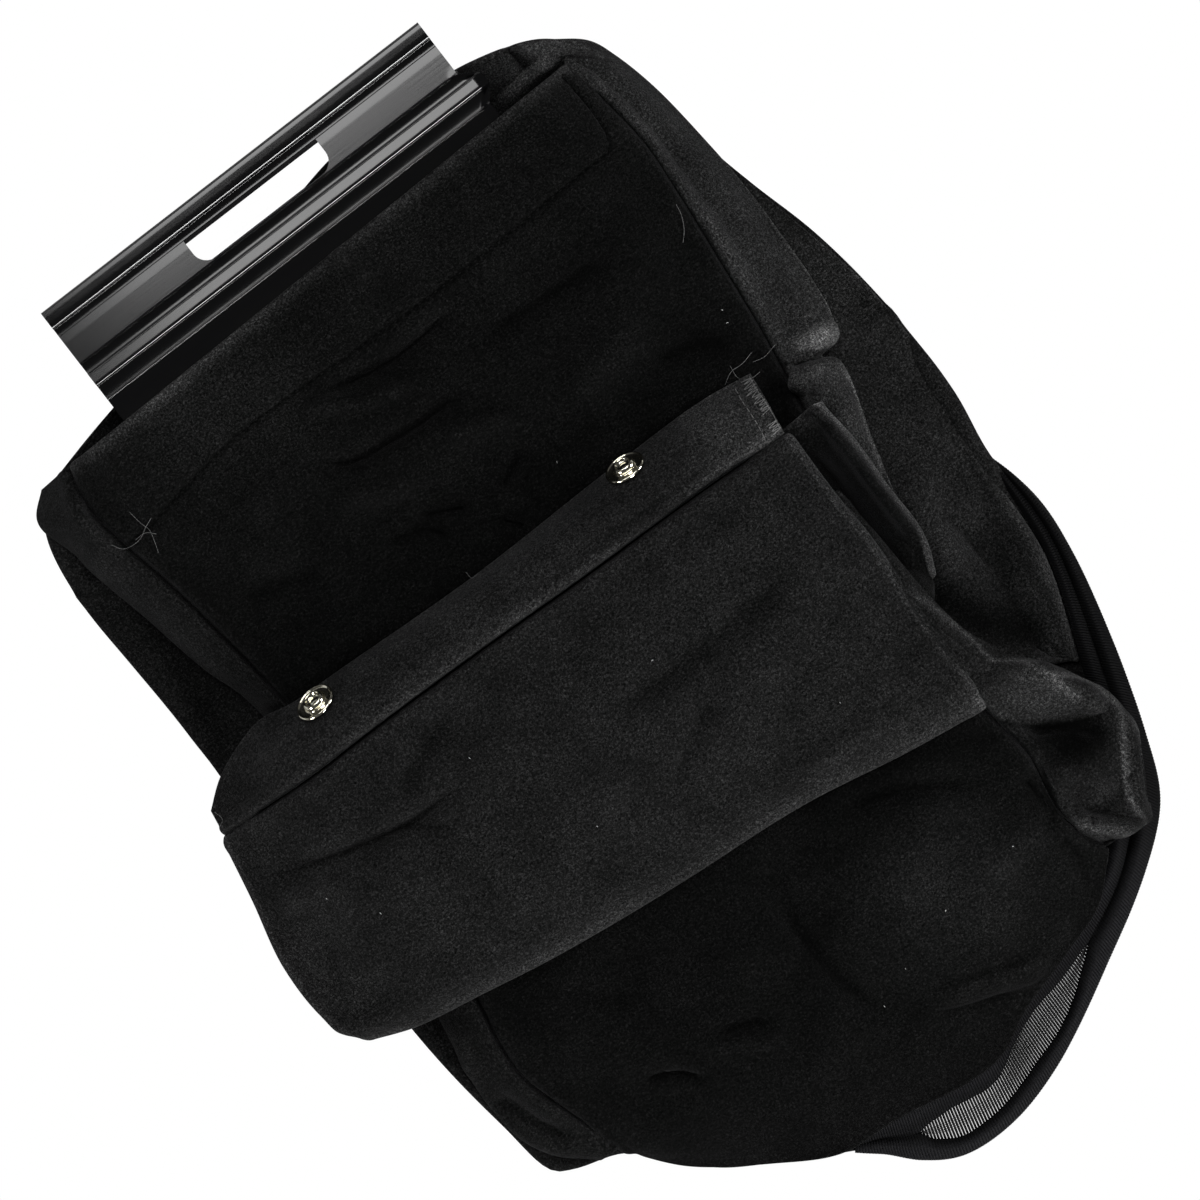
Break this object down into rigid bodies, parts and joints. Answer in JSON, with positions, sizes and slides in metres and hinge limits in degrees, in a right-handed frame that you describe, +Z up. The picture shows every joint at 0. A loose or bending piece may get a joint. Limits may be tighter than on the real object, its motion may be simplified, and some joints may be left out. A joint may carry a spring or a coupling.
{
  "type": "chipper vacuum bag",
  "caption": "Felt collection bag for a chipper vacuum, with a slotted plastic hanger, snap band, side sleeve and mesh window, lying flat.",
  "frame": {"origin": "under the middle of the bounding box, on the surface that the bag lies on", "axes": "+Z up from the table through the front of the bag, +Y towards the mouth and its hanger, +X to the sleeve's open end"},
  "size_m": [0.5312, 0.7408, 0.0756],
  "materials": {
    "felt": "matte napped felt",
    "ribbed_cloth": "satin ribbed weave",
    "mesh": "open ladder mesh",
    "gloss_plastic": "gloss",
    "nickel": "bright nickel"
  },
  "bodies": {
    "root": {"back_panel": "felt", "bag_handle": "gloss_plastic", "handle_pocket_facing": "felt", "left_socket": "nickel", "left_socket_cap": "nickel", "left_stud": "nickel", "left_stud_backing": "nickel", "lower_front_panel": "felt", "lower_left_gusset": "felt", "lower_right_gusset": "felt", "mesh_window": "mesh", "right_side_panel": "felt", "right_socket": "nickel", "right_socket_cap": "nickel", "right_stud": "nickel", "right_stud_backing": "nickel", "rim_cloth": "ribbed_cloth", "sleeve_back_panel": "felt", "sleeve_front_panel": "felt", "snap_band": "felt", "socket_band": "felt", "upper_front_panel": "felt", "upper_left_gusset": "felt", "upper_right_gusset": "felt"}
  },
  "joints": []
}
